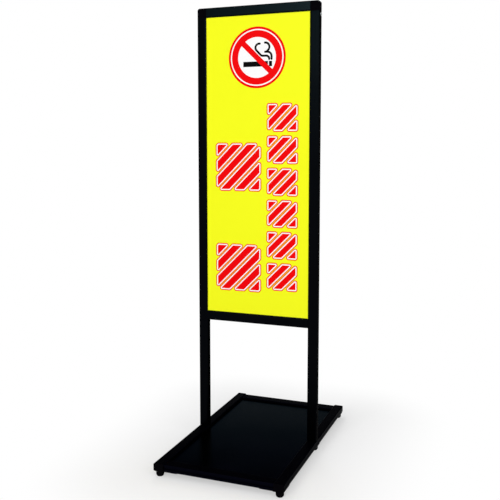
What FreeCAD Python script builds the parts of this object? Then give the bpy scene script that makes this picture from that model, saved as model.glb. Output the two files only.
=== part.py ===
import FreeCAD, Part
import math
import os

from FreeCAD import Vector

# Freestanding no smoking sign. A framed panel stands between two posts, and the posts stand on a
# low base frame that is weighted by a steel plate.
# All sizes are in millimetres. X runs along the face, the front looks towards -Y, and Z is up.
# The origin is on the ground, in the middle of the footprint.

# Overall sizes
overall_width = 460.0
overall_height = 1600.0
sign_height = 1143.0  # top of the sign frame down to the underside of its lower rail
base_depth = 770.0  # over the end caps

# Sign frame extrusion, shared by the posts, the top rail and the lower rail
frame_face = 35.0  # seen from the front, outer edge to lip edge
frame_depth = 25.0
frame_wall = 1.8
frame_radius = 3.0
chamber_radius = 0.8
lip_thickness = 2.2
bevel_width = 5.0
bevel_drop = 0.9

# Sign panel and its printed film
panel_thickness = 3.0
panel_bite = 10.0  # how far the panel reaches behind the lips
panel_end_gap = 1.0  # room for the panel at the groove floors of the sides and the top
panel_play = 0.5  # groove width left over in front of and behind the panel
film_thickness = 0.3
film_margin = 2.0  # board left bare around the film

# Corner blocks at the top of the frame
corner_radius = 9.0
tenon_length = 32.0
tenon_fit = 0.2
tenon_shell = 2.5
tenon_rib = 9.0
tenon_floor = 4.0
side_screw_drop = 11.0  # from the corner block down to the screw's axis

# Joiners between the lower rail and the posts
joiner_length = 35.0
tongue_height = 12.0
tongue_depth = 16.0
tongue_end_gap = 2.0
tongue_chamfer = 1.0

# Foot blocks in the lower ends of the posts
foot_block_height = 36.0
foot_block_screw_height = 24.0
bolt_spacing = 11.0
bolt_grip = 20.0  # bolt length inside the foot block

# Base frame
rail_width = 35.0
rail_height = 25.0
rail_wall = 2.0
rail_radius = 3.0
cross_depth = 40.0
cross_height = 23.0
cross_inset = 5.0  # outer face of a cross rail behind the end caps' faces
cross_groove_drop = 9.0  # from the top of the cross rail to the groove in its face
cross_groove_width = 6.0
cross_groove_depth = 3.0
ledge_width = 12.0
ledge_thickness = 2.0
ledge_gap = 1.0

# Base plate
plate_thickness = 4.5
plate_recess = 9.0  # below the top of the side rails
plate_gap = 1.0
plate_radius = 2.0
plate_thread = 3.0
ledge_screw_pitch = 250.0  # along a side rail
cross_screw_offset = 110.0  # from the middle of a cross rail

# End caps
cap_flange = 3.0
cap_round = 1.2
cap_plug = 9.0
cap_plug_wall = 1.8
cap_fit = 0.15

# Plates under the rails
under_plate = 2.0
under_margin = 1.0  # plate edge inside the rail's outer face
under_radius = 4.0
corner_plate_side = 64.0
corner_plate_cross = 50.0
corner_plate_slope = 28.0
corner_plate_screw_a = 14.0  # from the side rail's inner face along the cross rail
corner_plate_screw_b = 38.0
corner_plate_screw_c = 48.0  # from the end of the side rail along it
anchor_front = 17.0
anchor_back = 41.0

# Rubber feet
foot_height = 18.0
foot_radius = 13.5
foot_sole_radius = 9.5
foot_straight = 7.0
foot_bulge_radius = 12.3
foot_bulge_height = 3.3
foot_recess_radius = 5.6
foot_recess_depth = 6.5
foot_end_inset = 16.0  # foot axis from the end cap's face
middle_foot_back = 22.0  # middle foot axis behind the post's axis

# Screws and bolts: shank radius, head radius, head height
side_screw = (2.5, 6.5, 3.2)
frame_screw = (2.0, 4.0, 2.4)
post_bolt = (3.0, 5.0, 3.3)
foot_screw = (2.5, 4.8, 3.0)
plate_screw = (2.0, 4.0, 2.2)
side_screw_length = 16.0
frame_screw_length = 11.0
foot_screw_length = 20.0
under_screw_length = 6.5
head_rim_share = 0.35  # straight part of a head below its dome
hole_play = 0.2  # radius by which a clearance hole is wider than its shank

# Modelling allowances
overrun = 1.0  # how far a cutter starts before a wall and ends behind it
tiny = 0.01  # two places closer than this count as one

# Places that follow from the sizes above
across = Vector(1, 0, 0)
back = Vector(0, 1, 0)
up = Vector(0, 0, 1)
half_width = overall_width / 2
half_depth = frame_depth / 2
half_base = base_depth / 2
groove_reach = panel_bite + panel_end_gap
groove_width = panel_thickness + film_thickness + panel_play
groove_floor = frame_face - groove_reach
chamber_end = groove_floor - frame_wall
chamber_middle = (frame_wall + chamber_end) / 2
post_inner = half_width - frame_face
post_top = overall_height - frame_face
lower_rail_bottom = overall_height - sign_height
rail_bottom = foot_height + under_plate
rail_top = rail_bottom + rail_height
rail_inner = half_width - rail_width
rail_middle = half_width - rail_width / 2
rail_end = half_base - cap_flange
cross_outer = half_base - cross_inset
cross_inner = cross_outer - cross_depth
plate_top = rail_top - plate_recess
ledge_top = plate_top - plate_thickness
ledge_bottom = ledge_top - ledge_thickness
foot_end = half_base - foot_end_inset
side_screw_height = post_top - side_screw_drop
chamber_axis = half_width - chamber_middle
lower_rail_axis = lower_rail_bottom + chamber_middle
top_rail_axis = overall_height - chamber_middle
tenon_screw_reach = tenon_length / 2
joiner_screw_reach = joiner_length / 2


def plane(origin, along_u, along_v):
    """Turns a flat (u, v) place into a point in space."""
    return lambda u, v: origin + along_u * u + along_v * v


def rounded_wire(corners, place):
    """Closed wire through (u, v, radius) corners, each rounded by its own radius."""
    count = len(corners)
    edges = []
    ends = []
    for index in range(count):
        here = Vector(corners[index][0], corners[index][1], 0)
        before = Vector(corners[index - 1][0], corners[index - 1][1], 0) - here
        after = Vector(corners[(index + 1) % count][0], corners[(index + 1) % count][1], 0) - here
        half_turn = before.getAngle(after) / 2
        radius = corners[index][2]
        if radius <= 0:
            ends.append((here, here))
            continue
        reach = radius / math.tan(half_turn)
        start = here + before.normalize() * reach
        finish = here + after.normalize() * reach
        inward = (before + after).normalize()
        middle = here + inward * (radius / math.sin(half_turn) - radius)
        ends.append((start, finish))
        arc = [place(point.x, point.y) for point in (start, middle, finish)]
        edges.append(Part.Arc(*arc).toShape())
    for index in range(count):
        start = ends[index][1]
        finish = ends[(index + 1) % count][0]
        if (finish - start).Length > tiny:
            edges.append(Part.LineSegment(place(start.x, start.y), place(finish.x, finish.y)).toShape())
    ordered = Part.sortEdges(edges)[0]
    return Part.Wire(ordered)


def bar(outlines, place, run):
    """Straight bar whose section is the first outline, with the others as hollows."""
    wires = [rounded_wire(outline, place) for outline in outlines]
    return Part.makeFace(wires, "Part::FaceMakerBullseye").extrude(run)


def rectangle(u0, u1, v0, v1, radius):
    """Corners of a rectangle, all with one radius."""
    return [(u0, v0, radius), (u1, v0, radius), (u1, v1, radius), (u0, v1, radius)]


def block(x0, x1, y0, y1, z0, z1):
    """Solid box between two corners, given in any order."""
    low = Vector(min(x0, x1), min(y0, y1), min(z0, z1))
    return Part.makeBox(abs(x1 - x0), abs(y1 - y0), abs(z1 - z0), low)


def rod(start, direction, radius, length):
    """Round rod, or the hole that it would leave."""
    return Part.makeCylinder(radius, length, start, direction)


def through(start, direction, radius, thickness):
    """Cutter for a hole right through a wall; it overruns the wall on both sides."""
    return rod(start - direction * overrun, direction, radius, thickness + 2 * overrun)


def turned(profile, base, direction):
    """Solid turned from a closed wire in the XZ plane, with its axis set along a direction."""
    solid = Part.Face(profile).revolve(Vector(0, 0, 0), up, 360)
    solid.Placement = FreeCAD.Placement(base, FreeCAD.Rotation(up, direction))
    return solid


def fastener(kind, seat, direction, length):
    """Round-headed screw or bolt; the seat is under its head and the direction is the way in."""
    shank_radius, head_radius, head_height = kind
    rim_height = head_height * head_rim_share
    rise = head_height - rim_height
    dome_radius = (head_radius ** 2 + rise ** 2) / (2 * rise)
    half_angle = math.asin(head_radius / dome_radius) / 2
    dome_centre = dome_radius - head_height
    edge = Vector(head_radius, 0, -rim_height)
    crown = Vector(0, 0, -head_height)
    shoulder_radius = dome_radius * math.sin(half_angle)
    shoulder = Vector(shoulder_radius, 0, dome_centre - dome_radius * math.cos(half_angle))
    sides = [
        Part.LineSegment(crown, Vector(0, 0, length)).toShape(),
        Part.LineSegment(Vector(0, 0, length), Vector(shank_radius, 0, length)).toShape(),
        Part.LineSegment(Vector(shank_radius, 0, length), Vector(shank_radius, 0, 0)).toShape(),
        Part.LineSegment(Vector(shank_radius, 0, 0), Vector(head_radius, 0, 0)).toShape(),
        Part.LineSegment(Vector(head_radius, 0, 0), edge).toShape(),
        Part.Arc(edge, shoulder, crown).toShape(),
    ]
    return turned(Part.Wire(sides), seat, direction)


def mirrored_x(shape):
    """The right-hand twin of a left-hand piece."""
    return shape.mirror(Vector(0, 0, 0), across)


def mirrored_y(shape):
    """The back twin of a front piece."""
    return shape.mirror(Vector(0, 0, 0), back)


def frame_outlines():
    """Section of the sign frame: u from the outer edge to the lips, v from the front to the back."""
    groove_back = lip_thickness + groove_width
    outside = [
        (0, 0, frame_radius),
        (frame_face - bevel_width, 0, 0),
        (frame_face, bevel_drop, 0),
        (frame_face, lip_thickness, 0),
        (groove_floor, lip_thickness, 0),
        (groove_floor, groove_back, 0),
        (frame_face, groove_back, 0),
        (frame_face, frame_depth, frame_radius),
        (0, frame_depth, frame_radius),
    ]
    main_chamber = rectangle(frame_wall, chamber_end, frame_wall, frame_depth - frame_wall, chamber_radius)
    back_chamber = rectangle(
        groove_floor,
        frame_face - frame_wall,
        groove_back + frame_wall,
        frame_depth - frame_wall,
        chamber_radius,
    )
    return [outside, main_chamber, back_chamber]


def make_post():
    """Left post: the frame extrusion from the side rail up to the corner block."""
    place = plane(Vector(-half_width, -half_depth, rail_top), across, back)
    post = bar(frame_outlines(), place, up * (post_top - rail_top))
    screw_seat = Vector(-half_width, 0, side_screw_height)
    screw_hole = through(screw_seat, across, side_screw[0] + hole_play, frame_wall)
    mortise = block(
        -half_width + chamber_end - overrun,
        -post_inner + overrun,
        -tongue_depth / 2 - tenon_fit,
        tongue_depth / 2 + tenon_fit,
        lower_rail_axis - tongue_height / 2 - tenon_fit,
        lower_rail_axis + tongue_height / 2 + tenon_fit,
    )
    cuts = [screw_hole, mortise]
    for height in (lower_rail_axis, rail_top + foot_block_screw_height):
        start = Vector(-chamber_axis, half_depth - frame_wall, height)
        cuts.append(through(start, back, frame_screw[0] + hole_play, frame_wall))
    return post.cut(cuts)


def make_top_rail():
    """Top rail between the corner blocks, its panel groove looking down."""
    place = plane(Vector(-post_inner, -half_depth, overall_height), -up, back)
    rail = bar(frame_outlines(), place, across * (2 * post_inner))
    return rail.cut(back_holes(post_inner - tenon_screw_reach, top_rail_axis))


def make_lower_rail():
    """Lower rail between the posts, its panel groove looking up."""
    place = plane(Vector(-post_inner, -half_depth, lower_rail_bottom), up, back)
    rail = bar(frame_outlines(), place, across * (2 * post_inner))
    return rail.cut(back_holes(post_inner - joiner_screw_reach, lower_rail_axis))


def back_holes(distance, height):
    """A pair of screw holes through the back wall of a rail."""
    holes = []
    for side in (-1, 1):
        start = Vector(side * distance, half_depth - frame_wall, height)
        holes.append(through(start, back, frame_screw[0] + hole_play, frame_wall))
    return holes


def chamber_span():
    """Edges of what fits the frame's main chamber: low u, high u, low v, high v."""
    gap = frame_wall + tenon_fit
    return gap, chamber_end - tenon_fit, gap, frame_depth - gap


def chamber_fill():
    """Section of a solid piece that slides into the frame's main chamber."""
    return rectangle(*chamber_span(), chamber_radius)


def tenon(place, run):
    """Moulded tenon for the frame's main chamber, cored out on both sides of a middle rib."""
    low, high, front, rear = chamber_span()
    body = bar([chamber_fill()], place, run * tenon_length)
    pocket_start = run * tenon_floor
    pocket_run = run * (tenon_length - tenon_floor)
    middle = frame_depth / 2
    spans = [(front + tenon_shell, middle - tenon_rib / 2), (middle + tenon_rib / 2, rear - tenon_shell)]
    for v0, v1 in spans:
        pocket = rectangle(low + tenon_shell, high - tenon_shell, v0, v1, chamber_radius)
        cut = bar([pocket], place, pocket_run)
        cut.translate(pocket_start)
        body = body.cut(cut)
    return body


def make_corner_block():
    """Left top corner: a moulded block with one tenon for the post and one for the top rail."""
    face = plane(Vector(-half_width, -half_depth, overall_height), across, -up)
    outline = rectangle(0, frame_face, 0, frame_face, 0)
    outline[0] = (0, 0, corner_radius)
    body = bar([outline], face, back * frame_depth)
    outer = []
    for edge in body.Edges:
        flat = abs(edge.BoundBox.YLength) < tiny
        beside_rail = edge.BoundBox.XMin > -post_inner - tiny
        above_post = edge.BoundBox.ZMax < post_top + tiny
        if flat and not beside_rail and not above_post:
            outer.append(edge)
    body = body.makeFillet(frame_radius, outer)
    post_place = plane(Vector(-half_width, -half_depth, post_top), across, back)
    rail_place = plane(Vector(-post_inner, -half_depth, overall_height), -up, back)
    body = body.fuse([tenon(post_place, -up), tenon(rail_place, across)]).removeSplitter()
    pocket = block(
        -half_width + groove_floor,
        -post_inner,
        -half_depth + lip_thickness,
        -half_depth + lip_thickness + groove_width,
        post_top,
        overall_height - groove_floor,
    )
    side_hole = rod(Vector(-half_width, 0, side_screw_height), across, side_screw[0], side_screw_length)
    rail_screw = Vector(-post_inner + tenon_screw_reach, half_depth - frame_screw_length, top_rail_axis)
    back_hole = rod(rail_screw, back, frame_screw[0], frame_screw_length)
    return body.cut([pocket, side_hole, back_hole])


def make_rail_joiner():
    """Left joiner: its body fills the lower rail's chamber and its tongue enters the post."""
    body_place = plane(Vector(-post_inner, -half_depth, lower_rail_bottom), up, back)
    body = bar([chamber_fill()], body_place, across * joiner_length)
    tongue = block(
        -half_width + frame_wall + tongue_end_gap,
        -post_inner,
        -tongue_depth / 2,
        tongue_depth / 2,
        lower_rail_axis - tongue_height / 2,
        lower_rail_axis + tongue_height / 2,
    )
    tip_end = tongue.BoundBox.XMin + tiny
    tip = [edge for edge in tongue.Edges if edge.BoundBox.XMax < tip_end]
    joiner = body.fuse(tongue.makeChamfer(tongue_chamfer, tip)).removeSplitter()
    holes = []
    for x in (-chamber_axis, -post_inner + joiner_screw_reach):
        start = Vector(x, half_depth - frame_screw_length, lower_rail_axis)
        holes.append(rod(start, back, frame_screw[0], frame_screw_length))
    return joiner.cut(holes)


def make_panel():
    """Sign board: it stands on the floor of the lower rail's groove and runs behind every lip."""
    half = post_inner + panel_bite
    front = -half_depth + lip_thickness + panel_play / 2 + film_thickness
    bottom = lower_rail_bottom + groove_floor
    top = overall_height - groove_floor - panel_end_gap
    return block(-half, half, front, front + panel_thickness, bottom, top)


def make_film(panel):
    """Printed film on the front face of the board."""
    box = panel.BoundBox
    place = plane(Vector(0, box.YMin - film_thickness, 0), across, up)
    outline = rectangle(
        box.XMin + film_margin,
        box.XMax - film_margin,
        box.ZMin + film_margin,
        box.ZMax - film_margin,
        film_margin,
    )
    return bar([outline], place, back * film_thickness)


def bolt_axes():
    """Axes of the left post's two bolts."""
    return [Vector(-chamber_axis + side * bolt_spacing / 2, 0, 0) for side in (-1, 1)]


def make_foot_block():
    """Left foot block, which closes the post's lower end and takes its bolts."""
    section_place = plane(Vector(-half_width, -half_depth, rail_top), across, back)
    foot_block = bar([chamber_fill()], section_place, up * foot_block_height)
    holes = [rod(axis + up * rail_top, up, post_bolt[0], bolt_grip) for axis in bolt_axes()]
    start = Vector(-chamber_axis, half_depth - frame_screw_length, rail_top + foot_block_screw_height)
    holes.append(rod(start, back, frame_screw[0], frame_screw_length))
    return foot_block.cut(holes)


def foot_axes():
    """Axes of the left side rail's front, middle and back feet."""
    return {
        "front": Vector(-rail_middle, -foot_end, 0),
        "middle": Vector(-rail_middle, middle_foot_back, 0),
        "back": Vector(-rail_middle, foot_end, 0),
    }


def corner_plate_screws():
    """Axes of the three screws in the front left corner plate."""
    cross_middle = -(cross_outer + cross_inner) / 2
    return [
        Vector(-rail_inner + corner_plate_screw_a, cross_middle, 0),
        Vector(-rail_inner + corner_plate_screw_b, cross_middle, 0),
        Vector(-rail_middle, -rail_end + corner_plate_screw_c, 0),
    ]


def make_side_rail():
    """Left side rail: a closed tube with a ledge for the base plate along its inner side."""
    section = plane(Vector(-half_width, -rail_end, rail_bottom), across, up)
    outside = rectangle(0, rail_width, 0, rail_height, rail_radius)
    inner_width = rail_width - rail_wall
    inner_height = rail_height - rail_wall
    inside = rectangle(rail_wall, inner_width, rail_wall, inner_height, rail_radius - rail_wall)
    tube = bar([outside, inside], section, back * (2 * rail_end))
    ledge_half = cross_inner - ledge_width - ledge_gap
    ledge = block(-rail_inner, -rail_inner + ledge_width, -ledge_half, ledge_half, ledge_bottom, ledge_top)
    rail = tube.fuse(ledge).removeSplitter()
    cuts = []
    for axis in bolt_axes():
        cuts.append(through(axis + up * rail_bottom, up, post_bolt[0] + hole_play, rail_height))
    for axis in foot_axes().values():
        cuts.append(through(axis + up * rail_bottom, up, foot_screw[0] + hole_play, rail_wall))
    low_screw = corner_plate_screws()[2]
    for y in (low_screw.y, -low_screw.y):
        cuts.append(through(Vector(low_screw.x, y, rail_bottom), up, plate_screw[0], rail_wall))
    for x, y in ledge_screws():
        if x < -rail_inner + ledge_width and abs(y) < ledge_half:
            cuts.append(ledge_hole(x, y))
    return rail.cut(cuts)


def ledge_hole(x, y):
    """Clearance hole through a ledge."""
    return through(Vector(x, y, ledge_bottom), up, plate_screw[0] + hole_play, ledge_thickness)


def ledge_screws():
    """Places of the screws that hold the base plate to the ledges, seen from above."""
    places = []
    for side in (-1, 1):
        for step in (-1, 0, 1):
            places.append((side * (rail_inner - ledge_width / 2), step * ledge_screw_pitch))
        for end in (-1, 1):
            places.append((side * cross_screw_offset, end * (cross_inner - ledge_width / 2)))
    return places


def make_cross_rail():
    """Front rail of the base: a deeper tube with a groove along its outer face, and a ledge."""
    place = plane(Vector(-rail_inner, -cross_outer, rail_bottom), back, up)
    groove_top = cross_height - cross_groove_drop
    groove_bottom = groove_top - cross_groove_width
    outside = [
        (0, 0, rail_radius / 2),
        (cross_depth, 0, rail_radius / 2),
        (cross_depth, cross_height, rail_radius / 2),
        (0, cross_height, rail_radius / 2),
        (0, groove_top, 0),
        (cross_groove_depth, groove_top, 0),
        (cross_groove_depth, groove_bottom, 0),
        (0, groove_bottom, 0),
    ]
    step = cross_groove_depth + rail_wall
    inside = [
        (rail_wall, rail_wall, 0),
        (cross_depth - rail_wall, rail_wall, 0),
        (cross_depth - rail_wall, cross_height - rail_wall, 0),
        (rail_wall, cross_height - rail_wall, 0),
        (rail_wall, groove_top + rail_wall, 0),
        (step, groove_top + rail_wall, 0),
        (step, groove_bottom - rail_wall, 0),
        (rail_wall, groove_bottom - rail_wall, 0),
    ]
    tube = bar([outside, inside], place, across * (2 * rail_inner))
    ledge = block(-rail_inner, rail_inner, -cross_inner, -cross_inner + ledge_width, ledge_bottom, ledge_top)
    rail = tube.fuse(ledge).removeSplitter()
    cuts = []
    for screw in corner_plate_screws()[:2]:
        for x in (screw.x, -screw.x):
            cuts.append(through(Vector(x, screw.y, rail_bottom), up, plate_screw[0], rail_wall))
    for x, y in ledge_screws():
        if y < -cross_inner + ledge_width:
            cuts.append(ledge_hole(x, y))
    return rail.cut(cuts)


def make_base_plate():
    """Steel plate that rests on the ledges and weighs the sign down; its screw holes are blind."""
    half_x = rail_inner - plate_gap
    half_y = cross_inner - plate_gap
    place = plane(Vector(0, 0, ledge_top), across, back)
    plate = bar([rectangle(-half_x, half_x, -half_y, half_y, plate_radius)], place, up * plate_thickness)
    holes = [rod(Vector(x, y, ledge_top), up, plate_screw[0], plate_thread) for x, y in ledge_screws()]
    return plate.cut(holes)


def make_end_cap():
    """Front left end cap: a rounded flange over the tube's end and a hollow plug inside it."""
    place = plane(Vector(-half_width, -half_base, rail_bottom), across, up)
    flange = bar([rectangle(0, rail_width, 0, rail_height, rail_radius)], place, back * cap_flange)
    rim = [edge for edge in flange.Edges if edge.BoundBox.YMax < -half_base + tiny]
    flange = flange.makeFillet(cap_round, rim)
    gap = rail_wall + cap_fit
    wall = gap + cap_plug_wall
    plug_radius = max(rail_radius - rail_wall - cap_fit, 0)
    plug_place = plane(Vector(-half_width, -rail_end, rail_bottom), across, up)
    plug = bar(
        [
            rectangle(gap, rail_width - gap, gap, rail_height - gap, plug_radius),
            rectangle(wall, rail_width - wall, wall, rail_height - wall, 0),
        ],
        plug_place,
        back * cap_plug,
    )
    return flange.fuse(plug).removeSplitter()


def make_corner_plate():
    """Front left plate under the base: it joins the side rail to the cross rail."""
    outer_x = -half_width + under_margin
    cross_x = -rail_inner + corner_plate_cross
    side_y = -rail_end + corner_plate_side
    place = plane(Vector(0, 0, foot_height), across, back)
    outline = [
        (outer_x, -rail_end, under_radius),
        (-rail_inner, -rail_end, 0),
        (-rail_inner + cross_inset, -cross_outer + under_margin, 0),
        (cross_x, -cross_outer + under_margin, under_radius),
        (cross_x, -cross_inner - under_margin, under_radius),
        (-rail_inner, -cross_inner - under_margin + corner_plate_slope, under_radius),
        (-rail_inner - under_margin, side_y, 0),
        (outer_x, side_y, under_radius),
    ]
    plate = bar([outline], place, up * under_plate)
    holes = []
    for screw in corner_plate_screws():
        holes.append(through(screw + up * foot_height, up, plate_screw[0] + hole_play, under_plate))
    axis = foot_axes()["front"]
    holes.append(through(axis + up * foot_height, up, foot_screw[0] + hole_play, under_plate))
    return plate.cut(holes)


def make_anchor_plate():
    """Left plate under the side rail, where the post's bolts and the middle foot pull on it."""
    level = plane(Vector(0, 0, foot_height), across, back)
    outer_x = -half_width + under_margin
    inner_x = -rail_inner - under_margin
    outline = rectangle(outer_x, inner_x, -anchor_front, anchor_back, under_radius)
    plate = bar([outline], level, up * under_plate)
    holes = []
    for axis in bolt_axes():
        holes.append(through(axis + up * foot_height, up, post_bolt[0] + hole_play, under_plate))
    axis = foot_axes()["middle"]
    holes.append(through(axis + up * foot_height, up, foot_screw[0] + hole_play, under_plate))
    return plate.cut(holes)


def make_foot(axis):
    """Domed rubber foot with a recess under it for its screw."""
    bore = foot_screw[0] + hole_play
    waist = Vector(foot_radius, 0, foot_height - foot_straight)
    sole = Vector(foot_sole_radius, 0, 0)
    bulge = Vector(foot_bulge_radius, 0, foot_bulge_height)
    corners = [
        sole,
        Vector(foot_recess_radius, 0, 0),
        Vector(foot_recess_radius, 0, foot_recess_depth),
        Vector(bore, 0, foot_recess_depth),
        Vector(bore, 0, foot_height),
        Vector(foot_radius, 0, foot_height),
        waist,
    ]
    sides = [Part.LineSegment(a, b).toShape() for a, b in zip(corners, corners[1:])]
    sides.append(Part.Arc(waist, bulge, sole).toShape())
    return turned(Part.Wire(sides), axis, up)


def all_sides(pieces):
    """A group of left-hand solids and their right-hand twins."""
    return pieces + [mirrored_x(piece) for piece in pieces]


def make_side_screws():
    """Bright screws through the outer walls of the posts into the corner blocks."""
    seat = Vector(-half_width, 0, side_screw_height)
    return all_sides([fastener(side_screw, seat, across, side_screw_length)])


def make_frame_screws():
    """Screws in the back of the frame: top rail, lower rail, posts and foot blocks."""
    seats = [
        Vector(-post_inner + tenon_screw_reach, half_depth, top_rail_axis),
        Vector(-post_inner + joiner_screw_reach, half_depth, lower_rail_axis),
        Vector(-chamber_axis, half_depth, lower_rail_axis),
        Vector(-chamber_axis, half_depth, rail_top + foot_block_screw_height),
    ]
    return all_sides([fastener(frame_screw, seat, -back, frame_screw_length) for seat in seats])


def make_post_bolts():
    """Bolts from under the anchor plates through the side rails into the foot blocks."""
    length = under_plate + rail_height + bolt_grip
    return all_sides([fastener(post_bolt, axis + up * foot_height, up, length) for axis in bolt_axes()])


def make_foot_screws():
    """One screw up through each rubber foot."""
    seats = [axis + up * foot_recess_depth for axis in foot_axes().values()]
    return all_sides([fastener(foot_screw, seat, up, foot_screw_length) for seat in seats])


def make_plate_screws():
    """Screws up through the ledges into the base plate."""
    length = ledge_thickness + plate_thread
    return [fastener(plate_screw, Vector(x, y, ledge_bottom), up, length) for x, y in ledge_screws()]


def make_corner_plate_screws():
    """Screws up through the corner plates into the side rails and the cross rails."""
    seats = [axis + up * foot_height for axis in corner_plate_screws()]
    front = [fastener(plate_screw, seat, up, under_screw_length) for seat in seats]
    return all_sides(front + [mirrored_y(piece) for piece in front])


def build():
    """Every piece of the sign by name; the fasteners of one kind share a name."""
    pieces = {}
    panel = make_panel()
    pieces["sign_panel"] = panel
    pieces["face_film"] = make_film(panel)
    pieces["top_rail"] = make_top_rail()
    pieces["lower_rail"] = make_lower_rail()
    pieces["base_plate"] = make_base_plate()
    front_rail = make_cross_rail()
    pieces["front_rail"] = front_rail
    pieces["back_rail"] = mirrored_y(front_rail)
    left_pieces = {
        "post": make_post(),
        "corner_block": make_corner_block(),
        "rail_joiner": make_rail_joiner(),
        "foot_block": make_foot_block(),
        "side_rail": make_side_rail(),
        "anchor_plate": make_anchor_plate(),
    }
    for name, shape in left_pieces.items():
        pieces[name + "_left"] = shape
        pieces[name + "_right"] = mirrored_x(shape)
    for name, shape in (("end_cap", make_end_cap()), ("corner_plate", make_corner_plate())):
        for end, twin in (("front", shape), ("back", mirrored_y(shape))):
            pieces["%s_%s_left" % (name, end)] = twin
            pieces["%s_%s_right" % (name, end)] = mirrored_x(twin)
    for place, axis in foot_axes().items():
        foot = make_foot(axis)
        pieces["rubber_foot_%s_left" % place] = foot
        pieces["rubber_foot_%s_right" % place] = mirrored_x(foot)
    groups = {
        "side_screws": make_side_screws(),
        "frame_screws": make_frame_screws(),
        "post_bolts": make_post_bolts(),
        "foot_screws": make_foot_screws(),
        "plate_screws": make_plate_screws(),
        "corner_plate_screws": make_corner_plate_screws(),
    }
    for name, shapes in groups.items():
        pieces[name] = Part.makeCompound(shapes)
    return pieces


os.makedirs("parts", exist_ok=True)
for name, shape in build().items():
    shape.exportStep("parts/%s.step" % name)
    print("%-28s %d solid(s) %12.1f mm3 valid %s" % (name, len(shape.Solids), shape.Volume, shape.isValid()))
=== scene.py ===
# %% [markdown]
# # A freestanding no smoking sign
# A printed yellow panel stands in a slim black frame. Two posts carry it, and a low base with a
# heavy steel plate keeps it upright. The solid pieces are ready made, at their real size. This
# lesson gives them their finishes, prints the panel, cuts the drives into the screw heads, and
# sets up a floor, soft light and a camera.
#
# ## Load the frame
# The frame is the set of solids that everything else is placed by, and it never moves. Its box is
# measured first.

# %% Load the frame
import math

import bmesh
import bpy
from mathutils import Matrix, Vector
from mathutils.geometry import tessellate_polygon


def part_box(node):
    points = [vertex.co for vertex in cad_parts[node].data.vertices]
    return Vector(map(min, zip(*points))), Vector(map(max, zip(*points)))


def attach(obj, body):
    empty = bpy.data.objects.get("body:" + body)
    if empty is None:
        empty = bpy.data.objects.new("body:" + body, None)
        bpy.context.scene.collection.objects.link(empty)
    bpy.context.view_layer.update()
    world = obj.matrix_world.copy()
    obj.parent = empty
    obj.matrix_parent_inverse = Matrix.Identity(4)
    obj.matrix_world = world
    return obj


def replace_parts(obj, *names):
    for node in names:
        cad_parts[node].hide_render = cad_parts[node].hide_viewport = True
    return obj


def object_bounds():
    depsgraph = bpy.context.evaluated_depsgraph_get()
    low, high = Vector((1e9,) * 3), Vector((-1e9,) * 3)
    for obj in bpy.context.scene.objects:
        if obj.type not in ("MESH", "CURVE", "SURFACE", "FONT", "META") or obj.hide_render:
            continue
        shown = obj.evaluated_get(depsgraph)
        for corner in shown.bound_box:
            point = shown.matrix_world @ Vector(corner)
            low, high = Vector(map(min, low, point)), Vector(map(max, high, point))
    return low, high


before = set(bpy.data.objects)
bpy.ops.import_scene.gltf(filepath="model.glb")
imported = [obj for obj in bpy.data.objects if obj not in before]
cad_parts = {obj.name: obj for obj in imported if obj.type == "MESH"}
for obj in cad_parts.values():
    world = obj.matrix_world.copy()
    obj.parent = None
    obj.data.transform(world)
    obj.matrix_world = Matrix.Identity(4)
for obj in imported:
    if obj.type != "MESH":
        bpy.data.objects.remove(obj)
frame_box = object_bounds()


def rounded(box):
    return [tuple(round(value, 4) for value in corner) for corner in box]


print("frame box in metres:", rounded(frame_box))

# %% [markdown]
# ## Write shader sums as sums
# A finish is a net of nodes, and a net is easier to read as a formula. A Signal wraps the output of
# a node, so that `0.3 + 0.1 * grain` adds the two Math nodes that it needs. The reflected methods
# make it work with the number first as well, as in `1 - mask`.

# %% A signal that can be added and multiplied
class Signal:
    """The output of a node, used in a sum as if it were a number."""

    def __init__(self, net, socket):
        self.net = net
        self.socket = socket

    def combined(self, operation, first, second):
        return self.net.node("ShaderNodeMath", {"operation": operation}, {0: first, 1: second})

    def __add__(self, other):
        return self.combined("ADD", self, other)

    def __radd__(self, other):
        return self.combined("ADD", other, self)

    def __sub__(self, other):
        return self.combined("SUBTRACT", self, other)

    def __rsub__(self, other):
        return self.combined("SUBTRACT", other, self)

    def __mul__(self, other):
        return self.combined("MULTIPLY", self, other)

    def __rmul__(self, other):
        return self.combined("MULTIPLY", other, self)


print("Signal:", Signal.__doc__)

# %% [markdown]
# ## Add any node in one way
# Every node that isn't part of a sum could be made and linked line by line, which hides what it is
# for. Here one method takes the node's kind, its settings, and what goes into its sockets, and
# gives back one output. A material, the floor and the sky all share it.

# %% A net of nodes
class Net:
    """A node tree with one way to add any node to it."""

    def __init__(self, tree):
        self.tree = tree

    def feed(self, socket, value):
        if isinstance(value, Signal):
            self.tree.links.new(value.socket, socket)
        else:
            socket.default_value = value

    def node(self, kind, settings=None, sockets=None, output=0):
        """Adds a node: its settings come first, then its sockets, and one output comes back."""
        made = self.tree.nodes.new(kind)
        for name, value in (settings or {}).items():
            setattr(made, name, value)
        for name, value in (sockets or {}).items():
            self.feed(made.inputs[name], value)
        return Signal(self, made.outputs[output])

    def place(self):
        return self.node("ShaderNodeTexCoord", output="Object")

    def seen_directly(self):
        """1 for rays from the camera, from a gloss or through glass, and 0 for diffuse light."""
        paths = ("Is Camera Ray", "Is Glossy Ray", "Is Transmission Ray")
        camera, glossy, through = [self.node("ShaderNodeLightPath", output=path) for path in paths]
        return camera + glossy + through


print("Net:", Net.__doc__)

# %% [markdown]
# ## Finishes
# Each finish is a material with one Principled shader. What is the same all over the surface, such
# as the gloss level, is set on the shader's own socket. What varies, such as colour or roughness,
# could come from images, but those need an unwrapped surface. Noise needs none, and its patch size
# is given in metres, so the grain has its real scale.

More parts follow.
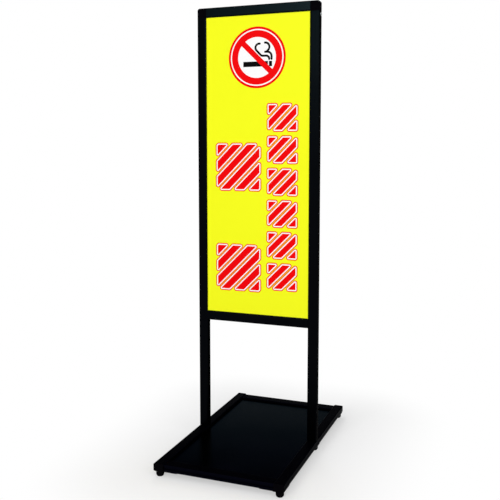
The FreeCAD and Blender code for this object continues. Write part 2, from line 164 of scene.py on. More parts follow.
# %% One finish
def shade(color, factor):
    return tuple(channel * factor for channel in color)


class Finish(Net):
    """A material with a Principled shader, and the few textures that the finishes share."""

    def __init__(self, name, color, roughness, **constants):
        self.material = bpy.data.materials.new(name)
        self.material.use_nodes = True
        super().__init__(self.material.node_tree)
        self.shader = self.tree.nodes["Principled BSDF"]
        self.roughness = roughness
        self.vary("Base Color", (*color, 1.0))
        self.vary("Roughness", roughness)
        for socket, value in constants.items():
            self.vary(socket.replace("_", " "), value)

    def vary(self, socket, value):
        self.feed(self.shader.inputs[socket], value)

    def noise(self, patch, stretch=(1.0, 1.0, 1.0), detail=2.0):
        """Soft noise from 0 to 1 in patches of one size, drawn out along an axis by the stretch."""
        scale = [1.0 / (patch * factor) for factor in stretch]
        spread = self.node("ShaderNodeMapping", {}, {"Vector": self.place(), "Scale": scale})
        return self.node("ShaderNodeTexNoise", {}, {"Vector": spread, "Scale": 1.0, "Detail": detail})

    def rise(self, low, high):
        """A mask that runs from 0 at one height above the floor to 1 at another."""
        height = self.node("ShaderNodeSeparateXYZ", {}, {0: self.place()}, "Z")
        return self.node("ShaderNodeMapRange", {}, {"Value": height, "From Min": low, "From Max": high})

    def tint(self, mask, first, second):
        """A colour that runs from the first to the second as the mask runs from 0 to 1."""
        first, second = [side if isinstance(side, Signal) else (*side, 1.0) for side in (first, second)]
        # Among the sockets of a Mix node, 6 and 7 are its two colours, and output 2 is the mixed one.
        colors = {0: mask, 6: first, 7: second}
        return self.node("ShaderNodeMix", {"data_type": "RGBA"}, colors, output=2)

    def mottled(self, mask, color, darkest, lightest):
        """A colour that runs from a darker to a lighter shade of itself."""
        return self.tint(mask, shade(color, darkest), shade(color, lightest))

    def roughen(self, *swings):
        """Lets the roughness swing about its middle value. A swing is a mask and its span."""
        roughness = self.roughness
        for mask, span in swings:
            roughness = roughness + span * (mask - 0.5)
        self.vary("Roughness", roughness)

    def relief(self, height, depth):
        """Raises the surface by a height from 0 to 1, over a depth in metres."""
        self.vary("Normal", self.node("ShaderNodeBump", {}, {"Distance": depth, "Height": height}))


print("Finish:", Finish.__doc__)

# %% [markdown]
# ### Black extrusions
# The bars are anodised aluminium, so they are metals with a nearly black colour. A plain black
# coat would mirror the white sky at a flat angle and turn the sides of the posts grey. On a metal,
# Specular Tint sets how much it mirrors there, and a low rim value keeps the sides black.
#
# An extruded bar also keeps faint lines along its length from the die. They could be scratches in
# an image, but noise that is stretched sixty times along one axis gives them on every bar, and
# needs no unwrapping. The posts run along Z, the rails of the sign along X, and the side rails of
# the base along Y, so one function makes all three. The rails across the base are a little bluer.
# Towards the top, the frame's black turns green-blue. That is a painted reflection: a lamp's tint
# is painted into the colour by height, and on the posts this painted colour is also darker.

# %% Black extrusions
DIE_LINE_WIDTH = 0.0009
DIE_LINE_STRETCH = 60.0
DIE_LINE_DEPTH = 0.00003
# The heights and the two upper colours below paint a reflection into the frame: its green-blue tint
# towards the top.
REFLECTION_PAINT_RISE = (0.8, 1.6)
FRAME_BLACK = (0.0020, 0.0023, 0.0031)
RAIL_PAINTED_REFLECTION = (0.0021, 0.0042, 0.0049)
POST_PAINTED_REFLECTION = (0.0010, 0.0018, 0.0022)
BASE_BLACK = (0.0020, 0.0022, 0.0044)
CROSS_BLACK = (0.0016, 0.0017, 0.0042)
FRAME_GLOSS = {"rim": 0.30, "roughness": 0.29}
BASE_GLOSS = {"rim": 0.41, "roughness": 0.42}


def drawn_black(name, axis, color, reflection_color, rim, roughness):
    """Black anodised aluminium bar with die lines along an axis, and a reflection painted in by height.
    """
    finish = Finish(name, color, roughness, Metallic=1.0, Specular_Tint=(rim, rim, rim, 1.0))
    stretch = [1.0, 1.0, 1.0]
    stretch["XYZ".index(axis)] = DIE_LINE_STRETCH
    lines = finish.noise(DIE_LINE_WIDTH, stretch, detail=3.0)
    patches = finish.noise(patch=0.14)
    blacks = [finish.mottled(patches, black, darkest=0.8, lightest=1.25) for black in (color, reflection_color)]
    # Painted reflection: as the height rises, the colour turns from the plain black to the painted
    # reflection's tint.
    finish.vary("Base Color", finish.tint(finish.rise(*REFLECTION_PAINT_RISE), *blacks))
    finish.roughen((lines, 0.08), (patches, 0.04))
    finish.relief(lines, DIE_LINE_DEPTH)
    return finish


post_black = drawn_black("post_black", "Z", FRAME_BLACK, POST_PAINTED_REFLECTION, **FRAME_GLOSS)
rail_black = drawn_black("rail_black", "X", FRAME_BLACK, RAIL_PAINTED_REFLECTION, **FRAME_GLOSS)
base_side_black = drawn_black("base_side_black", "Y", BASE_BLACK, BASE_BLACK, **BASE_GLOSS)
base_cross_black = drawn_black("base_cross_black", "X", CROSS_BLACK, CROSS_BLACK, **BASE_GLOSS)
extrusions = (post_black, rail_black, base_side_black, base_cross_black)
print("black extrusions:", [finish.material.name for finish in extrusions])

# %% [markdown]
# ### Moulded plastic and rubber
# The corner blocks and the end caps are duller than the bars beside them, because their mould has
# a fine spark grain. The rubber feet are duller still, with a coarser grain. Such a grain is too
# fine to model, so it is a bump. One function makes both finishes, with hardly any gloss, and with
# patches that are a little lighter than the rest.

# %% Moulded plastic and rubber
def moulded_black(name, color, roughness, grain, depth):
    """Moulded black surface with an even grain."""
    finish = Finish(name, color, roughness, Specular_IOR_Level=0.0005)
    pits = finish.noise(grain, detail=3.0)
    patches = finish.noise(patch=0.02)
    finish.vary("Base Color", finish.mottled(patches, color, darkest=0.85, lightest=1.3))
    finish.roughen((pits, 0.10))
    finish.relief(pits, depth)
    return finish


BLOCK_BLACK = (0.0018, 0.0016, 0.0024)
RUBBER_BLACK = (0.0024, 0.0024, 0.0030)
block_plastic = moulded_black("block_plastic", BLOCK_BLACK, roughness=0.62, grain=0.0007, depth=0.00006)
foot_rubber = moulded_black("foot_rubber", RUBBER_BLACK, roughness=0.80, grain=0.0012, depth=0.00010)
print("moulded blacks:", block_plastic.material.name, foot_rubber.material.name)

# %% [markdown]
# ### The coated base plate
# The steel plate has a smoother coat than the rails, with the faint ripple of sprayed paint. It
# mirrors its surroundings softly, so it looks lighter and bluer towards the back, where the view
# meets it at a flatter angle. That comes from a higher rim value with a cool tint and from a lower
# roughness, and not from a painted gradient. The small plates under the base share this coat.

# %% The coated base plate
PLATE_BLACK = (0.0032, 0.0029, 0.0034)
PLATE_RIM = (0.458, 0.470, 0.477, 1.0)
plate_coat = Finish("plate_coat", PLATE_BLACK, roughness=0.22, Metallic=1.0, Specular_Tint=PLATE_RIM)
haze = plate_coat.noise(patch=0.18, detail=3.0)
plate_coat.vary("Base Color", plate_coat.mottled(haze, PLATE_BLACK, darkest=0.85, lightest=1.2))
plate_coat.roughen((haze, 0.08))
plate_coat.relief(plate_coat.noise(patch=0.006, detail=1.0), depth=0.00002)
print("plate coat:", len(plate_coat.tree.nodes), "nodes")

# %% [markdown]
# ### Film and inks
# The face is one printed film, so the yellow and the inks share the same gloss, and differ only in
# colour. One finish could hold them all with masks for the shapes, but a finish for each colour is
# easier to change. A very slight ripple, as on film rolled on by hand, keeps the highlight alive.

# %% Film and inks
def printed(name, color):
    """Smooth printed film of one colour."""
    finish = Finish(name, color, roughness=0.34, Specular_IOR_Level=0.02)
    ripple = finish.noise(patch=0.009, detail=1.0)
    wash = finish.noise(patch=0.25, detail=1.0)
    finish.vary("Base Color", finish.mottled(wash, color, darkest=0.985, lightest=1.0))
    finish.roughen((ripple, 0.08))
    finish.relief(ripple, depth=0.00002)
    return finish


yellow_film = printed("yellow_film", (0.90, 0.945, 0.014))
red_ink = printed("red_ink", (0.86, 0.0015, 0.003))
white_ink = printed("white_ink", (0.93, 0.93, 0.93))
black_ink = printed("black_ink", (0.0008, 0.0008, 0.0010))
print("print colours:", [ink.material.name for ink in (yellow_film, red_ink, white_ink, black_ink)])

# %% [markdown]
# ### Bare metals and the board
# The two side screws are smooth steel, dark enough to stand out against a white background. The
# other screws are zinc plated, which shows soft grey patches. A cell texture could draw the crystals
# of the zinc, but heads this small need only noise. The blocks inside the posts are sawn aluminium.
# The back of the sign shows the board itself, a pale composite sheet with a rolled grain.

# %% Bare metals and the board
def bare_metal(name, color, roughness, patch, contrast):
    """Metal with soft patches of a lighter and a darker grey."""
    finish = Finish(name, color, roughness, Metallic=1.0)
    patches = finish.noise(patch, detail=4.0)
    finish.vary("Base Color", finish.mottled(patches, color, 1.0 - contrast, 1.0 + contrast))
    finish.roughen((patches, 0.16))
    finish.relief(finish.noise(patch=0.0008), depth=0.00002)
    return finish


STEEL_GREY = (0.32, 0.34, 0.34)
ZINC_GREY = (0.58, 0.60, 0.62)
ALUMINIUM_GREY = (0.74, 0.75, 0.76)
bright_steel = bare_metal("bright_steel", STEEL_GREY, roughness=0.22, patch=0.004, contrast=0.06)
zinc_plating = bare_metal("zinc_plating", ZINC_GREY, roughness=0.38, patch=0.006, contrast=0.16)
sawn_aluminium = bare_metal("sawn_aluminium", ALUMINIUM_GREY, roughness=0.42, patch=0.003, contrast=0.08)

BOARD_WHITE = (0.74, 0.75, 0.74)
ROLLED_ALONG_Z = (1.0, 1.0, 40.0)
board_coat = Finish("board_coat", BOARD_WHITE, roughness=0.4, Specular_IOR_Level=0.3)
grain = board_coat.noise(patch=0.0012, stretch=ROLLED_ALONG_Z)
clouds = board_coat.noise(patch=0.2)
board_coat.vary("Base Color", board_coat.mottled(clouds, BOARD_WHITE, darkest=0.97, lightest=1.0))
board_coat.roughen((grain, 0.08))
board_coat.relief(grain, depth=0.00002)
print("bare metals:", [metal.material.name for metal in (bright_steel, zinc_plating, sawn_aluminium)])

# %% [markdown]
# ## Dress the solids
# Every solid keeps its shape and its place, and only takes a finish. A list of all the names would
# do, but the names say what the pieces are, so the start of a name is enough to choose its finish.
# The longest match wins.

# %% Dress the solids
FINISHES = {
    "post_": post_black,
    "top_rail": rail_black,
    "lower_rail": rail_black,
    "corner_block_": block_plastic,
    "end_cap_": block_plastic,
    "side_rail_": base_side_black,
    "front_rail": base_cross_black,
    "back_rail": base_cross_black,
    "base_plate": plate_coat,
    "sign_panel": board_coat,
    "face_film": yellow_film,
    "rubber_foot_": foot_rubber,
    "rail_joiner_": sawn_aluminium,
    "foot_block_": sawn_aluminium,
    "anchor_plate_": plate_coat,
    "corner_plate_": plate_coat,
    "side_screws": bright_steel,
    "frame_screws": zinc_plating,
    "post_bolts": zinc_plating,
    "foot_screws": zinc_plating,
    "plate_screws": zinc_plating,
    "corner_plate_screws": zinc_plating,
}


def finish_for(node_name):
    matches = [start for start in FINISHES if node_name.startswith(start)]
    return FINISHES[max(matches, key=len)]


for node_name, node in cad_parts.items():
    for place in node.material_slots:
        place.material = finish_for(node_name).material
print("dressed solids:", len(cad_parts))

# %% [markdown]
# ## Build a piece
# New pieces are meshes in the same frame as the solids, built point by point, because each one has
# to meet the solids exactly. Each rides on the sign's only body, and takes its finish.

# %% Build a piece
def finished_mesh(name, build):
    """A mesh from a bmesh, with its faces looking outwards."""
    bmesh.ops.recalc_face_normals(build, faces=build.faces)
    mesh = bpy.data.meshes.new(name)
    build.to_mesh(mesh)
    build.free()
    return mesh


def placed(name, data):
    """Puts a mesh, a lamp or a camera into the scene."""
    thing = bpy.data.objects.new(name, data)
    bpy.context.scene.collection.objects.link(thing)
    return thing


def add_piece(name, mesh, finish):
    """Adds a mesh to the sign and gives it its finish."""
    piece = placed(name, mesh)
    mesh.materials.append(finish.material)
    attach(piece, "root")
    print(name, "has", len(mesh.polygons), "faces")
    return piece


# %% [markdown]
# ## Outlines for the print
# The print is made of flat outlines: arcs, bars and rounded corners. Curve objects could draw them,
# but lists of points are easier to cut and to count. A short function makes the points of an arc,
# and another lets a convex outline grow evenly on all sides with round corners. Growing the same
# outline by two amounts gives a border of even width.

# %% Arcs and grown outlines
ARC_STEP = 5.0
ORIGIN = (0.0, 0.0)


def at_angle(center, radius, degrees):
    """The point at one angle on a circle."""
    turn = math.radians(degrees)
    return (center[0] + radius * math.cos(turn), center[1] + radius * math.sin(turn))


def arc(center, radius, start, stop):
    """Points along an arc from one angle to another, both ends included."""
    count = max(2, math.ceil(abs(stop - start) / ARC_STEP))
    angles = [start + (stop - start) * index / count for index in range(count + 1)]
    return [at_angle(center, radius, angle) for angle in angles]


def circle(center, radius):
    return arc(center, radius, 0.0, 360.0)[:-1]


def grown(outline, amount):
    """A convex outline, listed anticlockwise, moved outwards with a round corner at each point."""
    points = []
    for index, here in enumerate(outline):
        before = outline[index - 1]
        after = outline[(index + 1) % len(outline)]
        first = math.degrees(math.atan2(here[1] - before[1], here[0] - before[0])) - 90.0
        last = math.degrees(math.atan2(after[1] - here[1], after[0] - here[0])) - 90.0
        points += arc(here, amount, first, first + (last - first) % 360.0)
    return points


print("points in a circle:", len(circle(ORIGIN, 1.0)))

# %% [markdown]
# ## Screws with drives
# The solids give every screw its place and its size, but their heads are plain. Here each kind is
# turned again from the same profile, as on a lathe, with the top of its head at height 0 and its
# shank below. A Screw modifier could turn the profile too, but then the crown and the tip would
# need a weld.

# %% Turn a screw
TURNS = 48
HEAD_RIM_SHARE = 0.35
TIP_CHAMFER = 0.0004


def screw_profile(shank_radius, head_radius, head_height, length):
    """Radius and height along the outline of a domed screw, from its crown to its tip."""
    rise = head_height * (1.0 - HEAD_RIM_SHARE)
    dome_radius = (head_radius ** 2 + rise ** 2) / (2 * rise)
    reach = math.degrees(math.asin(head_radius / dome_radius))
    dome = arc((0.0, -dome_radius), dome_radius, 90.0, 90.0 - reach)
    rim = [(head_radius, -head_height), (shank_radius, -head_height)]
    tip = [(shank_radius, TIP_CHAMFER - length), (shank_radius - TIP_CHAMFER, -length), (0.0, -length)]
    return [ORIGIN] + dome[1:] + rim + tip


def turned(profile):
    """Closed solid turned around Z from an outline that starts and ends on the axis."""
    build = bmesh.new()
    rings = []
    for radius, height in profile:
        count = TURNS if radius > 0.0 else 1
        points = [at_angle(ORIGIN, radius, 360.0 * index / TURNS) for index in range(count)]
        rings.append([build.verts.new((x, y, height)) for x, y in points])
    for upper, lower in zip(rings, rings[1:]):
        for index in range(TURNS):
            corners = [ring[(index + step) % len(ring)] for ring, step in
                       ((upper, 0), (upper, 1), (lower, 1), (lower, 0))]
            # At the crown and the tip two corners are one point, which the keys hold only once.
            build.faces.new(dict.fromkeys(corners))
    return finished_mesh("screw", build)


SMALL_SCREW = (0.0020, 0.0040, 0.0022)
print("points in a screw's profile:", len(screw_profile(*SMALL_SCREW, length=0.01)))

# %% [markdown]
# ### Cut the drives
# A driver needs a cross or a hexagon in the head. It could be a dark mark on the surface, but a
# real recess catches the light from every side. So a tapered plug is made in the drive's outline,
# and a Boolean takes it out of the head.

# %% Cut a drive
def cross(reach, half_width):
    """Outline of a cross drive."""
    arm = [(reach, -half_width), (reach, half_width), (half_width, half_width)]
    points = []
    for quarter in range(4):
        points += arm
        arm = [(-y, x) for x, y in arm]
    return points


def hexagon(reach):
    return [at_angle(ORIGIN, reach, 60.0 * index) for index in range(6)]


def tapered(outline, top, bottom, share):
    """Closed solid between an outline and its smaller copy further down."""
    build = bmesh.new()
    upper = [build.verts.new((x, y, top)) for x, y in outline]
    lower = [build.verts.new((x * share, y * share, bottom)) for x, y in outline]
    build.faces.new(upper)
    build.faces.new(lower)
    for index in range(len(outline)):
        build.faces.new((upper[index - 1], upper[index], lower[index], lower[index - 1]))
    return finished_mesh("drive", build)


def without(mesh, cutter_mesh):
    """What a cutter leaves of a solid."""
    body, cutter = [placed(part.name, part) for part in (mesh, cutter_mesh)]
    change = body.modifiers.new("cut", "BOOLEAN")
    change.operation = "DIFFERENCE"
    change.object = cutter
    seen = body.evaluated_get(bpy.context.evaluated_depsgraph_get())
    result = bpy.data.meshes.new_from_object(seen)
    for item in (body, cutter):
        bpy.data.objects.remove(item)
    return result


CROSS_SHARE = 0.45
HEXAGON_SHARE = 0.96
small_cross = (cross(0.0021, 0.0005), 0.0015, CROSS_SHARE)
wide_cross = (cross(0.0032, 0.0007), 0.0022, CROSS_SHARE)
bolt_hexagon = (hexagon(0.0023), 0.0021, HEXAGON_SHARE)
foot_hexagon = (hexagon(0.0023), 0.0019, HEXAGON_SHARE)
print("corners of a cross drive:", len(small_cross[0]))

# %% [markdown]
# ### Find the screws
# All the screws of one kind are one solid made of loose parts. Their places could be typed in, but
# a walk along the edges finds the parts by itself, and each part's box gives the place and the
# length of one screw.

# %% Find the screws
WELD_DISTANCE = 0.000001


def loose_boxes(mesh):
    """Lowest and highest corner of each loose part of a mesh."""
    build = bmesh.new()
    build.from_mesh(mesh)
    bmesh.ops.remove_doubles(build, verts=build.verts, dist=WELD_DISTANCE)
    boxes = []
    for first in build.verts:
        if first.tag:
            continue
        first.tag = True
        part = [first]
        for vert in part:
            for edge in vert.link_edges:
                other = edge.other_vert(vert)
                if not other.tag:
                    other.tag = True
                    part.append(other)
        places = [[vert.co[axis] for vert in part] for axis in range(3)]
        boxes.append((Vector(map(min, places)), Vector(map(max, places))))
    build.free()
    return boxes


def way_out(node_name, middle):
    """Direction in which the heads of one kind of screw look."""
    if node_name == "side_screws":
        return Vector((math.copysign(1.0, middle.x), 0.0, 0.0))
    if node_name == "frame_screws":
        return Vector((0.0, 1.0, 0.0))
    return Vector((0.0, 0.0, -1.0))


# Shank radius, head radius and head height of each kind, then its drive and its finish.
SCREWS = {
    "side_screws": ((0.0025, 0.0065, 0.0032), wide_cross, bright_steel),
    "frame_screws": ((0.0020, 0.0040, 0.0024), small_cross, zinc_plating),
    "post_bolts": ((0.0030, 0.0050, 0.0033), bolt_hexagon, zinc_plating),
    "foot_screws": ((0.0025, 0.0048, 0.0030), foot_hexagon, zinc_plating),
    "plate_screws": (SMALL_SCREW, small_cross, zinc_plating),
    "corner_plate_screws": (SMALL_SCREW, small_cross, zinc_plating),
}
screw_boxes = {node_name: loose_boxes(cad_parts[node_name].data) for node_name in SCREWS}
print("screws of each kind:", {node_name: len(boxes) for node_name, boxes in screw_boxes.items()})

# %% [markdown]
# ### Set the screws in place
# Real screws stop at any angle, so each one is turned a little further than the last. The screws
# of one kind are joined into one piece, which stands for the plain solid.

# %% Set the screws in place
HEAD_CLEARANCE = 0.0005
TURN_BETWEEN_SCREWS = 37.0
SHARP_ANGLE = 35.0


def set_screws(node_name, sizes, drive, finish):
    """Replaces the plain screws of one solid with turned ones that have a drive."""
    outline, depth, share = drive
    joined = bmesh.new()
    for index, (low, high) in enumerate(screw_boxes[node_name]):
        middle = (low + high) / 2
        outward = way_out(node_name, middle)
        half_length = abs((high - low).dot(outward)) / 2
        plain = turned(screw_profile(*sizes, 2 * half_length))
        screw = without(plain, tapered(outline, HEAD_CLEARANCE, -depth, share))
        spin = Matrix.Rotation(math.radians(TURN_BETWEEN_SCREWS * index), 4, "Z")
        aim = outward.to_track_quat("Z", "Y").to_matrix().to_4x4()
        screw.transform(Matrix.Translation(middle + outward * half_length) @ aim @ spin)
        joined.from_mesh(screw)
    mesh = finished_mesh(node_name + "_turned", joined)
    mesh.shade_smooth()
    mesh.set_sharp_from_angle(angle=math.radians(SHARP_ANGLE))
    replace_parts(add_piece(mesh.name, mesh, finish), node_name)


for node_name, (sizes, drive, finish) in SCREWS.items():
    set_screws(node_name, sizes, drive, finish)

# %% [markdown]
# ## Raise the inks
# Each colour is a separate thin solid on the film, as if it were cut from coloured foil. One flat
# picture on the film would be simpler, but real edges stay sharp from any distance. A colour that
# lies on another one starts a level higher, so that no two faces share a plane.

# %% Raise the inks
INK_STEP = 0.00012
film_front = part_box("face_film")[0].y


def raised(name, shapes, finish, level):
    """Flat closed solids on the film. A shape is its outer loop and then its holes, in X and Z."""
    build = bmesh.new()
    front_y = film_front - INK_STEP * (level + 1)
    rear_y = film_front - INK_STEP * level
    for loops in shapes:
        front = [[build.verts.new((x, front_y, z)) for x, z in loop] for loop in loops]
        rear = [[build.verts.new((x, rear_y, z)) for x, z in loop] for loop in loops]
        front_points = [point for loop in front for point in loop]
        rear_points = [point for loop in rear for point in loop]
        for triangle in tessellate_polygon([[Vector((x, z, 0.0)) for x, z in loop] for loop in loops]):
            build.faces.new([front_points[index] for index in triangle])
            build.faces.new([rear_points[index] for index in reversed(triangle)])
        for near, far in zip(front, rear):
            for index in range(len(near)):
                build.faces.new((near[index - 1], near[index], far[index], far[index - 1]))
    add_piece(name, finished_mesh(name, build), finish)


print("front of the film, in metres:", round(film_front, 4))

# %% [markdown]
# ### The round smoking ban
# The symbol is the common one: a red ring with a slanted bar over a cigarette. Around it runs a
# white ring with a thin red edge. The ring and its bar could be two pieces, but they are one colour
# and would overlap. So they are one outline with two holes, and each hole is the part of the inner
# circle on one side of the bar.

# %% The round smoking ban
BAN_CENTER = (0.0, 1.4165)
EDGE_RADIUS = 0.1076
WHITE_RADIUS = 0.0994
RING_RADIUS = 0.0950
FIELD_RADIUS = 0.0715
BAR_WIDTH = 0.0198
BAR_NORMAL = 46.0


def ban_ring(center):
    """Outer circle of the red ring, and the two holes that its bar leaves open."""
    half_opening = math.degrees(math.acos(BAR_WIDTH / 2 / FIELD_RADIUS))
    holes = []
    for normal in (BAR_NORMAL, BAR_NORMAL + 180.0):
        holes.append(arc(center, FIELD_RADIUS, normal - half_opening, normal + half_opening))
    return [circle(center, RING_RADIUS)] + holes


raised("ban_edge", [[circle(BAN_CENTER, EDGE_RADIUS)]], red_ink, level=0)
raised("ban_field", [[circle(BAN_CENTER, WHITE_RADIUS)]], white_ink, level=1)
raised("ban_ring", [ban_ring(BAN_CENTER)], red_ink, level=3)

# %% [markdown]
# ### Cigarette and smoke
# The cigarette is two black blocks with a white gap before the glowing end. The smoke is two lines
# that curl to the left. A bevelled curve would make them round like wires, and ink is flat. So a
# line is a chain of arcs that gets its width afterwards: each point is moved to both sides, and a
# half circle closes each end. The upper curl starts on top of another line, so it lies a tenth of a
# level higher.

# %% Cigarette and smoke
CIGARETTE_LOW = 1.3845
CIGARETTE_HIGH = 1.4028
CIGARETTE_SPANS = ((-0.0515, 0.0412), (0.0453, 0.0568))
SMOKE_WIDTH = 0.0074


def bar_loop(left, right, low, high):
    return [(left, low), (right, low), (right, high), (left, high)]


def ribbon(line, width):
    """A line with its width and round ends, as one outline."""
    radius = width / 2
    headings = []
    for index in range(len(line)):
        before = line[max(index - 1, 0)]
        after = line[min(index + 1, len(line) - 1)]
        headings.append(math.degrees(math.atan2(after[1] - before[1], after[0] - before[0])))
    right = [at_angle(point, radius, heading - 90.0) for point, heading in zip(line, headings)]
    left = [at_angle(point, radius, heading + 90.0) for point, heading in zip(line, headings)]
    end_cap = arc(line[-1], radius, headings[-1] - 90.0, headings[-1] + 90.0)[1:-1]
    start_cap = arc(line[0], radius, headings[0] + 90.0, headings[0] + 270.0)[1:-1]
    return right + end_cap + left[::-1] + start_cap


def from_center(x, z):
    return (BAN_CENTER[0] + x, BAN_CENTER[1] + z)


left_smoke = arc(from_center(0.0345, -0.0070), 0.0120, 0.0, 90.0)
left_smoke += arc(from_center(0.0232, 0.0190), 0.0140, -90.0, -140.0)
left_smoke += arc(from_center(0.0087, 0.0338), 0.0140, 235.0, 82.0)
right_smoke = [from_center(0.0550, -0.0068)]
right_smoke += arc(from_center(0.0390, 0.0025), 0.0160, 0.0, 90.0)
right_smoke += [from_center(0.0312, 0.0185)]
top_smoke = arc(from_center(0.0316, 0.0353), 0.0152, -60.0, 95.0)

cigarette = [[bar_loop(left, right, CIGARETTE_LOW, CIGARETTE_HIGH)] for left, right in CIGARETTE_SPANS]
raised("cigarette", cigarette, black_ink, level=2)
stems = [[ribbon(line, SMOKE_WIDTH)] for line in (left_smoke, right_smoke)]
raised("smoke_stems", stems, black_ink, level=2)
raised("smoke_top", [[ribbon(top_smoke, SMOKE_WIDTH)]], black_ink, level=2.1)

# %% [markdown]
# ### Bars of a hatched field
# Below the symbol stand red fields, each hatched with slanted bars. A bar is what two parallel
# lines leave of the field's rectangle. It could come from a Boolean as well, but on a flat outline
# one function that cuts by a line does it, and is used twice for each bar.

# %% Cut bars from a rectangle
HATCH_NORMAL = 135.0
RED_ROUND = 0.0015
WHITE_BORDER = 0.0042
RED_BORDER = 0.0034
HATCH_MARGIN = RED_ROUND + WHITE_BORDER + RED_BORDER


def cut_by_line(outline, normal, distance):
    """What lies on the inner side of a line, given by its normal and its distance from zero."""
    kept = []
    for index, here in enumerate(outline):
        before = outline[index - 1]
        depth_here = distance - here[0] * normal[0] - here[1] * normal[1]
        depth_before = distance - before[0] * normal[0] - before[1] * normal[1]
        if (depth_here > 0.0) != (depth_before > 0.0):
            share = depth_before / (depth_before - depth_here)
            kept.append(tuple(a + share * (b - a) for a, b in zip(before, here)))
        if depth_here > 0.0:
            kept.append(here)
    return kept


def hatched_field(center, width, height, bars, bar_width, pitch):
    """Bars of one field, cut to its rectangle."""
    half_width = width / 2 - HATCH_MARGIN
    half_height = height / 2 - HATCH_MARGIN
    left, right = center[0] - half_width, center[0] + half_width
    field = bar_loop(left, right, center[1] - half_height, center[1] + half_height)
    normal = at_angle(ORIGIN, 1.0, HATCH_NORMAL)
    opposite = (-normal[0], -normal[1])
    middle = center[0] * normal[0] + center[1] * normal[1]
    outlines = []
    for index in range(bars):
        offset = middle + (index - (bars - 1) / 2) * pitch
        bar = cut_by_line(field, normal, offset + bar_width / 2)
        bar = cut_by_line(bar, opposite, bar_width / 2 - offset)
        if len(bar) > 2:
            outlines.append(bar)
    return outlines


print("margin around the bars, in metres:", round(HATCH_MARGIN, 4))

# %% [markdown]
# ### Hatched fields
# The fields stand in two columns, two large ones on the left and six small ones on the right. All
# their bars are grown by three amounts: a little for the red fill, more for the white border below
# it, and most for the thin red edge at the bottom.

# %% Hatched fields
SMALL_FIELD = {"width": 0.118, "height": 0.102, "bars": 4, "bar_width": 0.0175, "pitch": 0.0375}
LARGE_FIELD = {"width": 0.178, "height": 0.176, "bars": 6, "bar_width": 0.0205, "pitch": 0.0400}
SMALL_COLUMN = 0.0960
LARGE_COLUMN = -0.0715
SMALL_TOP = 1.2560
SMALL_PITCH = 0.1140
SMALL_COUNT = 6
LARGE_HEIGHTS = (1.0290, 0.6610)
hatch_bars = []
for row in range(SMALL_COUNT):
    small_height = SMALL_TOP - SMALL_FIELD["height"] / 2 - row * SMALL_PITCH
    hatch_bars += hatched_field((SMALL_COLUMN, small_height), **SMALL_FIELD)
for large_height in LARGE_HEIGHTS:
    hatch_bars += hatched_field((LARGE_COLUMN, large_height), **LARGE_FIELD)


def grown_bars(amount):
    return [[grown(bar, amount)] for bar in hatch_bars]


raised("hatch_edge", grown_bars(HATCH_MARGIN), red_ink, level=0)
raised("hatch_border", grown_bars(RED_ROUND + WHITE_BORDER), white_ink, level=1)
raised("hatch_fill", grown_bars(RED_ROUND), red_ink, level=2)
print("hatch bars:", len(hatch_bars))

# %% [markdown]
# ## Floor and light
# The sign stands on a plain pale floor, which has to show its shadow and still meet the white
# background without a line. A floor that only glows would lose the shadow, and one that is only lit
# would show its edge. So for the camera and for reflections it is a mix of both. The floor itself is
# one large square, and the reach of the base is measured for the next step.

# %% Floor
FLOOR_HALF = 30.0
FLOOR_PALE = (0.95, 0.95, 0.95)
floor_mesh = bpy.data.meshes.new("floor")
floor_corners = bar_loop(-FLOOR_HALF, FLOOR_HALF, -FLOOR_HALF, FLOOR_HALF)
floor_mesh.from_pydata([(x, y, 0.0) for x, y in floor_corners], [], [(0, 1, 2, 3)])
floor = placed("floor", floor_mesh)
pale_floor = Finish("pale_floor", FLOOR_PALE, roughness=0.9, Specular_IOR_Level=0.1)
floor_mesh.materials.append(pale_floor.material)
footprint = [max(-low, high) for low, high in zip(frame_box[0], frame_box[1])][:2]
print("footprint reaches, in metres:", [round(reach, 3) for reach in footprint])

# %% [markdown]
# ### Fade the floor to white
# The share of white grows with the distance from the base's footprint, and from FADE_END on there is
# nothing else. Diffuse light only ever meets the lit surface. A round fade would be simpler, but the
# base is long and narrow, so the distance from its rectangle is worked out: the place on the floor
# loses its sign, the reach of the footprint is taken off, and what is below zero is set to zero. The
# length of the rest is the distance, and a smooth range turns it into the fade.

# %% Fade the floor to white
FADE_START = 0.0
FADE_END = 0.45
LEAST_WHITE = 0.45
NO_REACH = (0.0, 0.0, 0.0)
WHITE_GLOW = {"Color": (1.0, 1.0, 1.0, 1.0), "Strength": 1.0}


def on_floor(operation, *vectors, output=0):
    """A Vector Math node in the material of the floor."""
    sockets = dict(enumerate(vectors))
    return pale_floor.node("ShaderNodeVectorMath", {"operation": operation}, sockets, output)


beside = on_floor("SUBTRACT", on_floor("ABSOLUTE", pale_floor.place()), (*footprint, 0.0))
distance = on_floor("LENGTH", on_floor("MAXIMUM", beside, NO_REACH), output="Value")
fade_range = {"Value": distance, "From Min": FADE_START, "From Max": FADE_END}
fade = pale_floor.node("ShaderNodeMapRange", {"interpolation_type": "SMOOTHSTEP"}, fade_range)
lit_share = (1.0 - LEAST_WHITE) * (1.0 - fade)
white_share = (1.0 - lit_share) * pale_floor.seen_directly()
lit = Signal(pale_floor, pale_floor.shader.outputs[0])
glow = pale_floor.node("ShaderNodeEmission", {}, WHITE_GLOW)
shown = pale_floor.node("ShaderNodeMixShader", {}, {0: white_share, 1: lit, 2: glow})
pale_floor.feed(pale_floor.tree.nodes["Material Output"].inputs["Surface"], shown)
print("floor:", len(pale_floor.tree.nodes), "nodes")

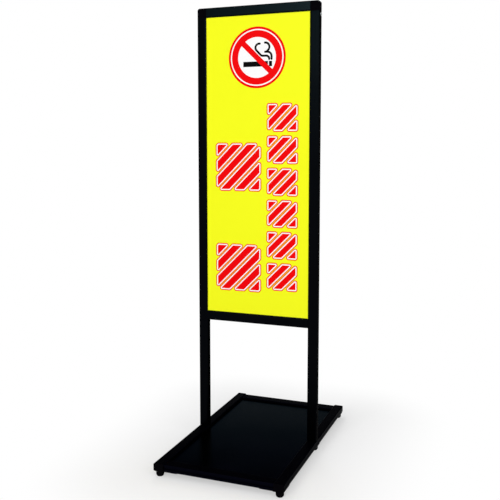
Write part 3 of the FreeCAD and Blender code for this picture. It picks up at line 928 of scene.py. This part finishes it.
# %% [markdown]
# ### Sky and lamps
# A picture of a studio could light the sign, but a plain sky and three lamps are easier to change.
# The even sky gives most of the light, and looks plain white to the camera. The key lamp stands in
# front of the sign, far away, so that the yellow is even from top to bottom. A weak lamp lights the
# right side and another one the back. Together they keep a level where a colour renders about as it
# is written.

# %% Sky and lamps
SKY_LEVEL = 0.60
SIGN_MIDDLE = (0.0, 0.0, 0.9)
world = bpy.data.worlds.new("white_sky")
bpy.context.scene.world = world
world.use_nodes = True
sky = Net(world.node_tree)
background = world.node_tree.nodes["Background"]
sky.feed(background.inputs["Color"], (1.0, 1.0, 1.0, 1.0))
sky.feed(background.inputs["Strength"], SKY_LEVEL + (1.0 - SKY_LEVEL) * sky.seen_directly())


def soft_lamp(name, place, size, power):
    """A wide square lamp that points at the middle of the sign."""
    data = bpy.data.lights.new(name, "AREA")
    data.size = size
    data.energy = power
    lamp = placed(name, data)
    lamp.location = place
    lamp.rotation_euler = (Vector(SIGN_MIDDLE) - Vector(place)).to_track_quat("-Z", "Y").to_euler()


soft_lamp("key_lamp", place=(-0.75, -6.5, 2.9), size=1.9, power=127.0)
soft_lamp("fill_lamp", place=(3.2, -2.2, 1.8), size=2.0, power=28.0)
soft_lamp("back_lamp", place=(-1.5, 3.4, 3.0), size=1.6, power=25.0)
bpy.context.scene.view_settings.view_transform = "Standard"

# %% [markdown]
# ## Camera
# The photo looks at the sign from the right of its front, from about chest height, and its posts
# are nearly parallel. So the lens is shifted a little, which keeps upright lines upright, and the
# camera looks down by about five degrees for the rest. A larger shift would cut other views.

# %% Camera
LENS_LENGTH = 53.1
LENS_SHIFT = -0.066
LOOK_DOWN = 5.376
LOOK_LEFT = 20.951
camera_data = bpy.data.cameras.new("camera")
camera_data.lens = LENS_LENGTH
camera_data.shift_y = LENS_SHIFT
camera = placed("camera", camera_data)
camera.location = (0.9255, -2.4957, 1.0989)
camera.rotation_euler = (math.radians(90.0 - LOOK_DOWN), 0.0, math.radians(LOOK_LEFT))
bpy.context.scene.camera = camera
print("camera at:", [round(value, 2) for value in camera.location])

# %% [markdown]
